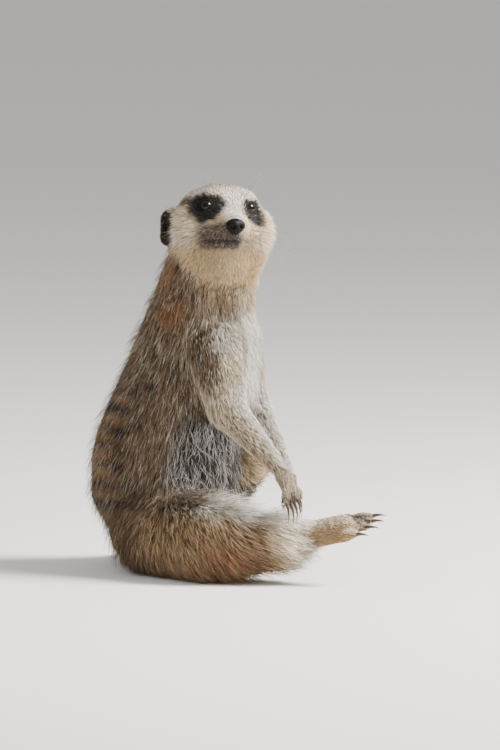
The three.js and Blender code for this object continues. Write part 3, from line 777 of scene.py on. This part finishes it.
tri = triangles_of(skin.data)
tri_uv = read(skin.data.uv_layers["OFBake"].data, "uv", 2)[triangles_of(skin.data, "loops")]
chance = areas_of(surface[tri]) / MM ** 2 * tuft_count[tri].mean(1)
total = int(chance.sum() * SHARE)
pick = np.sort(rng.choice(len(tri), total, p=chance / chance.sum()))
u, v = scattered(rng, total)
bary = np.hstack([1 - u - v, u, v])


def at_roots(values):
    """Values of the skin's vertices, read where the tufts are rooted."""
    taken = values[tri[pick]]
    if values.ndim == 1:
        return (taken * bary).sum(1)
    return (taken * bary[:, :, None]).sum(1)


tuft = {
    "place": at_roots(surface), "out": unit(at_roots(out_of)), "lie": unit(at_roots(lie)),
    "long": at_roots(tuft_long) * MM * rng.uniform(0.72, 1.22, total),
    "wide": at_roots(tuft_wide) * MM * rng.uniform(0.75, 1.2, total) / math.sqrt(SHARE),
    "lift": np.radians(at_roots(tuft_lift) + rng.normal(0, 4.5, total)),
    "clump": at_roots(tuft_clump), "region": at_roots(region),
    "uv": (tri_uv[pick] * bary[:, :, None]).sum(1),
    "root": at_roots(root), "mid": at_roots(mid), "tip": at_roots(tip),
}


def altered(which, **factors):
    """Multiplies these values of some tufts."""
    for key, factor in factors.items():
        tuft[key] = np.where(which, tuft[key] * factor, tuft[key])


# A lock of the body takes the marking it lies over, so that bars and edges stay crisp.
skin_tree = tree_of(surface)
bodily = np.flatnonzero(at_roots(share("trunk", "thigh", "tail")) > 0.5)
for key, colours, along in (("mid", mid, 0.3), ("tip", tip, 0.75)):
    over = tuft["place"][bodily] + tuft["lie"][bodily] * (tuft["long"][bodily] * along)[:, None]
    tuft[key][bodily] = colours[[skin_tree.find(spot)[1] for spot in over]]

swing = np.radians(rng.normal(0, 1, total) * at_roots(tuft_stray))[:, None]
sideways = np.cross(tuft["out"], tuft["lie"])
tuft["lie"] = unit(np.cos(swing) * tuft["lie"] + np.sin(swing) * sideways)
# Hairs differ in shade; where the coat is grizzled some are pale and some nearly black.
PALE_SHARE, DARK_SHARE = 0.17, 0.24  # of the hairs, where it is fully grizzled
speckle = at_roots(grizzle)
shade = np.exp(0.26 * rng.normal(0, 1, total) * (0.3 + speckle))[:, None]
luck = rng.random(total)
warmth = at_roots(thigh)[:, None]
pale = SILVER + (CREAM * 0.75 - SILVER) * warmth
pale_hair = (luck < PALE_SHARE * speckle)[:, None]
dark_hair = (luck > 1 - DARK_SHARE * speckle)[:, None]
tuft["mid"] = np.where(pale_hair, tuft["mid"] * 0.45 + pale * 0.55, tuft["mid"])
pale_tip = pale + (WHITE - SILVER) * (1 - warmth)
tuft["tip"] = np.where(pale_hair, tuft["tip"] * 0.3 + pale_tip * 0.7, tuft["tip"])
altered(dark_hair, mid=0.42, tip=0.35)
for key in ("root", "mid", "tip"):
    tuft[key] = np.clip(tuft[key] * shade, 0.002, 0.95)

# Long thin pale wisps cross the dark belly.
WISP_SHARE = 0.22
wisp = rng.random(total) < WISP_SHARE * at_roots(belly)
for key in ("mid", "tip"):
    tuft[key][wisp] = WHITE * 0.8
altered(wisp, long=2.2, wide=0.5, clump=0.0)

# Single longer hairs stand out of the body, most of all at the ruff, the breast and the knees.
ragged = 0.50 * ruff + 0.40 * breast + 0.25 * thigh * step(92, 110, X)
stands = rng.random(total) < at_roots(np.clip(ragged + 0.08 * thigh + 0.09 * body, 0, 1))
tuft["lift"] = tuft["lift"] + np.radians(np.where(stands, rng.uniform(14, 38, total), 0))
altered(stands, long=1.45, wide=0.75, clump=0.0)

# Neighbouring tufts lean to a common tip, as combed hair does.
LED = 8  # tufts to each one that leads them
leaders = rng.choice(total, max(total // LED, 1), replace=False)
tree = tree_of(tuft["place"][leaders])
lead = np.array([leaders[tree.find(p)[1]] for p in tuft["place"]])
CURL = 0.10  # how far a tuft's end still stands off the skin
ROOT_END, TIP_START = 0.35, 0.45  # where along it the root's shade ends and the tip's begins
FLAT = 0.65  # a strand's thickness as a share of its width
MAP_STEP = 0.0015  # half the size of a strand on the skin's map
HAIR_LOW = 0.15 * MM  # least height of a hair over the floor


def course(t, s):
    """The middle line of tufts, at a share s of their length."""
    rise = np.sin(t["lift"])[:, None] * t["out"] + np.cos(t["lift"])[:, None] * t["lie"]
    laid = CURL * t["out"] + t["lie"]
    return t["place"] + t["long"][:, None] * (rise * (s - s * s / 2) + laid * (s * s / 2))


def shade_along(t, s):
    if s < TIP_START:
        return t["root"] + (t["mid"] - t["root"]) * min(s / ROOT_END, 1)
    return t["mid"] + (t["tip"] - t["mid"]) * (s - TIP_START) / (1 - TIP_START)


def strands(name, t, stops, girth, line):
    """Closed three-sided tapering strands, as one mesh with a tint and a place on the skin's map."""
    count = len(t["place"])
    rings = len(stops)
    corners = 3 * rings + 1
    places = np.empty((count, corners, 3))
    tints = np.empty((count, corners, 3), dtype=np.float32)
    maps = np.empty((count, corners, 2))
    for i, s in enumerate(stops):
        middle = line(s)
        heading = unit(line(s + 0.04) - line(s - 0.04))
        aside = unit(np.cross(heading, t["out"]))
        down = np.cross(heading, aside)
        for j, turn in enumerate((-90, 30, 150)):
            a = math.radians(turn)
            offset = math.cos(a) * aside + FLAT * math.sin(a) * down
            places[:, 3 * i + j] = middle + offset * (t["wide"] / 2 * girth[i])[:, None]
            maps[:, 3 * i + j] = t["uv"] + np.array((j - 1, 2 * s - 1)) * MAP_STEP
        tints[:, 3 * i:3 * i + 3] = shade_along(t, s)[:, None]
    places[:, -1] = line(1.0)
    tints[:, -1] = shade_along(t, 1.0)
    maps[:, -1] = t["uv"] + np.array((0, MAP_STEP))
    places[:, :, 2] = np.maximum(places[:, :, 2], HAIR_LOW)
    quads = [(3 * i + j, 3 * i + (j + 1) % 3, 3 * i + 3 + (j + 1) % 3, 3 * i + 3 + j)
             for i in range(rings - 1) for j in range(3)]
    threes = [(3 * rings - 3 + j, 3 * rings - 3 + (j + 1) % 3, 3 * rings) for j in range(3)]
    threes.append((2, 1, 0))
    pattern = np.array([c for q in quads for c in q] + [c for q in threes for c in q])
    sizes = np.array([4] * len(quads) + [3] * len(threes))
    loops = (pattern[None] + corners * np.arange(count)[:, None]).ravel()
    mesh = bpy.data.meshes.new(name)
    mesh.vertices.add(count * corners)
    mesh.vertices.foreach_set("co", places.ravel())
    mesh.loops.add(len(loops))
    mesh.loops.foreach_set("vertex_index", loops.astype(np.int32))
    all_sizes = np.tile(sizes, count)
    mesh.polygons.add(len(all_sizes))
    starts = np.concatenate([[0], np.cumsum(all_sizes)[:-1]])
    mesh.polygons.foreach_set("loop_start", starts.astype(np.int32))
    mesh.update(calc_edges=True)
    tinted(mesh, tints.reshape(-1, 3))
    layer = mesh.uv_layers.new(name="OFBake")
    layer.data.foreach_set("uv", np.ascontiguousarray(maps.reshape(-1, 2)[loops]).ravel())
    return placed(name, mesh)


# Pieces of coat: the parts each covers, how many pieces they make, and the slot of its finish.
STOPS, GIRTH = (0.0, 0.48), (0.85, 1.0)
COAT_PIECES = [
    ("coat_head", ("head",), 2, "face"), ("coat_ears", ("ear",), 1, "ear"),
    ("coat_neck", ("neck",), 1, "back_coat"), ("coat_trunk", ("trunk",), 4, "back_coat"),
    ("coat_thighs", ("thigh",), 2, "back_coat"), ("coat_shanks", ("shank",), 1, "pale_coat"),
    ("coat_arms", ("upper", "forearm"), 1, "pale_coat"),
    ("coat_paws", ("hand", "foot"), 1, "pale_coat"), ("coat_tail", ("tail",), 1, "tail_end"),
]
COAT_MATERIALS = {
    "face": hair_material("short hair", 900, 0.18, 0.6, 0.0, 0.08),
    "ear": hair_material("ear hair", 900, 0.2, 0.65, 0.0, 0.05),
    "back_coat": hair_material("guard hair", 500, 0.25, 0.5, 0.0, 0.08),
    "pale_coat": hair_material("pale hair", 600, 0.18, 0.55, 0.0, 0.1),
    "tail_end": hair_material("tail hair", 500, 0.22, 0.55, 0.0, 0.05),
}
owner = np.array([kind_of(n) for n in REGIONS])[tuft["region"].argmax(1)]
for name, kinds, parts, slot in COAT_PIECES:
    chosen = np.flatnonzero(np.isin(owner, kinds))
    chosen = chosen[np.argsort(tuft["place"][chosen, 2], kind="stable")]
    for number, some in enumerate(np.array_split(chosen, parts)):
        t = {key: value[some] for key, value in tuft.items()}
        chief = {key: tuft[key][lead[some]] for key in ("place", "out", "lie", "long", "lift")}

        def line(s):
            pull = (t["clump"] * max(s, 0) ** 1.4)[:, None]
            return course(t, s) * (1 - pull) + course(chief, s) * pull

        full_name = name if parts == 1 else f"{name}_{number + 1}"
        piece = strands(full_name, t, STOPS, GIRTH, line)
        surfaced(piece, COAT_MATERIALS[slot])
        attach(piece, "root")

# ---- Whiskers ----
# Stiff tapering hairs on the lips, brows and cheeks, a few on each side, rooted in the skin.

WHISKERS = [  # root in the head's frame, way it points, length
    ((15, 9, -15), (0.35, 0.90, -0.05), 30), ((13, 11, -17), (0.20, 0.95, -0.15), 33),
    ((15, 9, -18), (0.30, 0.88, -0.30), 28), ((12, 12, -20), (0.10, 0.92, -0.38), 30),
    ((10, 14, -15), (0.05, 0.99, 0.05), 34), ((9, 15, -18), (0.0, 0.97, -0.22), 31),
    ((17, 7, -20), (0.40, 0.70, -0.50), 20), ((7, 10, 8), (0.25, 0.45, 0.95), 24),
    ((5, 12, 9), (0.05, 0.55, 0.90), 20), ((8, 8, 8), (0.45, 0.30, 0.90), 17),
    ((-2, 26, -14), (-0.25, 0.95, -0.30), 22), ((0, 24, -20), (-0.1, 0.85, -0.55), 18),
]
WHISKER_WIDE = 0.34 * MM
SAG = np.array((0, 0, -0.22))
pairs = [(whisker, (1, side, 1)) for whisker in WHISKERS for side in (1, -1)]
whisker_places = from_head([np.multiply(w[0], side) for w, side in pairs]) * MM + np.array(eyes_middle)
ways = unit(from_head([np.multiply(w[1], side) for w, side in pairs]))
whisker_longs = np.array([w[2] for w, _ in pairs]) * rng.uniform(0.85, 1.1, len(pairs))
found = [skin_tree.find(p)[1] for p in whisker_places]
count = len(found)
thread = {"place": surface[found], "out": out_of[found], "lie": ways,
          "long": whisker_longs * MM, "wide": np.full(count, WHISKER_WIDE),
          "uv": np.full((count, 2), 0.5)}
for key, colour in (("root", UMBER), ("mid", MOUSE), ("tip", CREAM)):
    thread[key] = np.tile(colour, (count, 1))


def bent(s):
    return thread["place"] + thread["long"][:, None] * (thread["lie"] * s + SAG * max(s, 0) ** 2)


whiskers = strands("whiskers", thread, (0.0, 0.2, 0.4, 0.6, 0.8), (1.0, 0.85, 0.68, 0.5, 0.3), bent)
surfaced(whiskers, hair_material("whisker", 400, 0.1, 0.4, 0.0))
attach(whiskers, "root")

# ---- Eyes ----
# Wet dark-brown eyes with a pupil that lies flat, and a clear front that stands slightly proud.


def eye_material():
    material, tree, shader = new_material("eye")
    place = made(tree, "Attribute")
    place.attribute_name = "eye_place"
    oval = made(tree, "Mapping", Scale=(0.72, 1.0, 0.0))
    away = made(tree, "VectorMath")
    away.operation = "LENGTH"
    rings = made(tree, "ValToRGB")
    stops = [(0.0, (0.002, 0.002, 0.003, 1)), (0.27, (0.002, 0.002, 0.003, 1)),
             (0.33, (0.012, 0.006, 0.0035, 1)), (0.60, (0.008, 0.004, 0.0025, 1)),
             (0.70, (0.003, 0.002, 0.002, 1)), (0.80, (0.008, 0.006, 0.006, 1))]
    ramp = rings.color_ramp
    ramp.elements[0].position, ramp.elements[0].color = stops[0]
    ramp.elements[1].position, ramp.elements[1].color = stops[-1]
    for position, colour in stops[1:-1]:
        ramp.elements.new(position).color = colour
    threads = made(tree, "TexNoise", Scale=9)
    warm = made(tree, "Mix")
    warm.data_type = "RGBA"
    warm.blend_type = "MULTIPLY"
    warm.inputs["Factor"].default_value = 0.6
    wire(tree, (place, "Vector", oval, "Vector"), (oval, "Vector", away, 0), (away, "Value", rings, "Fac"),
         (place, "Vector", threads, "Vector"), (rings, "Color", warm, "A"), (threads, "Color", warm, "B"),
         (warm, "Result", shader, "Base Color"))
    shader.inputs["Roughness"].default_value = 0.05
    shader.inputs["Specular IOR Level"].default_value = 0.28
    return material


EYE_MATERIAL = eye_material()
CORNEA = 0.06  # how far the front stands proud, as a share of the radius
for name in GAZE:
    middle, ball, axis, aside, over = eye_frame(name)
    bm = bmesh.new()
    bmesh.ops.create_uvsphere(bm, u_segments=40, v_segments=28, radius=ball * 0.985)
    local_places = []
    for v in bm.verts:
        facing = v.co.z / ball
        v.co *= 1 + CORNEA * float(step(0.62, 1.0, facing)) * 0.9
        local_places.append(tuple(v.co / ball))
    turn = Matrix((aside, over, axis)).transposed().to_4x4()
    bmesh.ops.transform(bm, matrix=Matrix.Translation(middle) @ turn, verts=bm.verts)
    eye = object_from(bm, "eyeball_" + name)
    layer = eye.data.attributes.new("eye_place", "FLOAT_VECTOR", "POINT")
    layer.data.foreach_set("vector", np.array(local_places, dtype=np.float32).ravel())
    surfaced(eye, EYE_MATERIAL)
    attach(eye, "root")
    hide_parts("eye_" + name)

# ---- Nose ----
# A bare, black, finely pebbled nose pad with two comma-shaped nostrils and a groove between.

NOSE_VOXEL, CLAW_VOXEL = 0.36 * MM, 0.32 * MM
PIT_DEEP, SLIT_DEEP, GROOVE_DEEP = 2.1, 1.1, 0.45
nose = fused(["nose"], 0.1 * MM, "nose_pad")
applied(nose, "REMESH", mode="VOXEL", voxel_size=NOSE_VOXEL)
nose_places = eased(places_of(nose.data), edges_of(nose.data), 6, 0.5)
at = in_head(nose_places) - in_head(np.array([centre_of("nose")]))
hollow = np.zeros(len(at))
for hand in (1, -1):
    pit = np.exp(-((at[:, 1] - 2.3 * hand) / 1.05) ** 2 - ((at[:, 2] + 0.4) / 0.95) ** 2)
    slit = np.exp(-((at[:, 1] - 3.6 * hand) / 1.2) ** 2 - ((at[:, 2] + 0.9) / 0.45) ** 2)
    hollow += (PIT_DEEP * pit + SLIT_DEEP * slit) * step(-0.5, 1.5, at[:, 0])
hollow += GROOVE_DEEP * bump_at(at[:, 1], 0, 0.4) * step(1.5, -1.5, at[:, 2])
nose_places = nose_places - from_head([(1, 0, 0)])[0] * (hollow * MM)[:, None]
move_to(nose.data, nose_places)


def pebbled_material(name, colour, worn, size, relief, rough, coat, gloss):
    """A hard or leathery surface with small cells and a colour that varies over it."""
    material, tree, shader = new_material(name)
    place = made(tree, "TexCoord")
    cells = made(tree, "TexVoronoi", Scale=size)
    cloud = made(tree, "TexNoise", Scale=size / 4)
    blend = made(tree, "Mix")
    blend.data_type = "RGBA"
    blend.inputs["A"].default_value = (*colour, 1)
    blend.inputs["B"].default_value = (*worn, 1)
    bump = made(tree, "Bump", Strength=0.6, Distance=relief)
    wire(tree, (place, "Object", cells, "Vector"), (place, "Object", cloud, "Vector"),
         (cloud, "Fac", blend, "Factor"), (blend, "Result", shader, "Base Color"),
         (cells, "Distance", bump, "Height"), (bump, "Normal", shader, "Normal"))
    shader.inputs["Roughness"].default_value = rough
    shader.inputs["Coat Weight"].default_value = coat
    shader.inputs["Coat Roughness"].default_value = 0.3
    shader.inputs["Specular IOR Level"].default_value = gloss
    return material


LEATHER = pebbled_material("nose leather", linear(0.022, 0.019, 0.019), linear(0.045, 0.038, 0.036),
                           1900, 0.00018, 0.45, 0.0, 0.13)
surfaced(nose, LEATHER)
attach(nose, "root")
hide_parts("nose")

# ---- Claws ----
# Long digging claws of dark horn on the hands, shorter ones on the feet, four to each.

HORN = pebbled_material("horn", linear(0.16, 0.11, 0.09), linear(0.30, 0.22, 0.17),
                        700, 0.00006, 0.32, 0.2, 0.45)
for limb in ("hand_left", "hand_right", "foot_left", "foot_right"):
    own = sorted(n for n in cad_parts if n.startswith("claw_" + limb))
    claws = fused(own, 0.0, "claws_" + limb)
    applied(claws, "REMESH", mode="VOXEL", voxel_size=CLAW_VOXEL)
    move_to(claws.data, eased(places_of(claws.data), edges_of(claws.data), 3, 0.5))
    surfaced(claws, HORN)
    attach(claws, "root")
    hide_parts(*own)

# ---- Camera, floor and light ----
# A long lens a little above the animal, a plain pale floor, and soft lamps: a strong one high on
# the right, which lights the breast and the face, and two wide weak ones in front and on the left.

SCALE = 0.645 * MM  # metres to a pixel of the 500 by 750 frame
WIDE, HIGH = 500, 750
ORIGIN_PIXEL = (165, 568)
AZIMUTH, ELEVATION = math.radians(28), math.radians(5)
DISTANCE = 5.0
back = Vector((math.sin(AZIMUTH) * math.cos(ELEVATION), -math.cos(AZIMUTH) * math.cos(ELEVATION),
               math.sin(ELEVATION)))
right = Vector((math.cos(AZIMUTH), math.sin(AZIMUTH), 0))
upward = back.cross(right)
aim = right * (WIDE / 2 - ORIGIN_PIXEL[0]) * SCALE + upward * (ORIGIN_PIXEL[1] - HIGH / 2) * SCALE
lens = bpy.data.cameras.new("camera")
lens.sensor_width = 36
lens.lens = lens.sensor_width * DISTANCE / (HIGH * SCALE)
lens.clip_start, lens.clip_end = 0.1, 40
camera = placed("camera", lens)
camera.location = aim + back * DISTANCE
camera.rotation_euler = back.to_track_quat("Z", "Y").to_euler()
bpy.context.scene.camera = camera

bm = bmesh.new()
bmesh.ops.create_grid(bm, x_segments=1, y_segments=1, size=40)
floor = object_from(bm, "floor")
paper, _, sheet = new_material("paper")
sheet.inputs["Base Color"].default_value = (0.74, 0.725, 0.70, 1)
sheet.inputs["Roughness"].default_value = 0.9
floor.data.materials.append(paper)
LIT = Vector((0.04, 0, 0.14))  # the place that all the lamps face


def lamp(name, place, size, power, colour, glints):
    light = bpy.data.lights.new(name, "AREA")
    light.size, light.energy, light.color = size, power, colour
    ob = placed(name, light)
    ob.location = place
    ob.rotation_euler = (Vector(place) - LIT).to_track_quat("Z", "Y").to_euler()
    ob.visible_glossy = glints


lamp("key", (1.25, 0.35, 1.25), 0.6, 130, (1, 0.97, 0.92), True)
lamp("front", (0.2, -2.2, 1.6), 1.6, 16, (1, 0.98, 0.95), False)
lamp("left", (-1.6, -0.2, 1.2), 1.2, 7, (0.94, 0.97, 1), False)
world = bpy.data.worlds.new("studio")
world.use_nodes = True
world.node_tree.nodes["Background"].inputs["Color"].default_value = (0.8, 0.8, 0.8, 1)
world.node_tree.nodes["Background"].inputs["Strength"].default_value = 0.85
bpy.context.scene.world = world
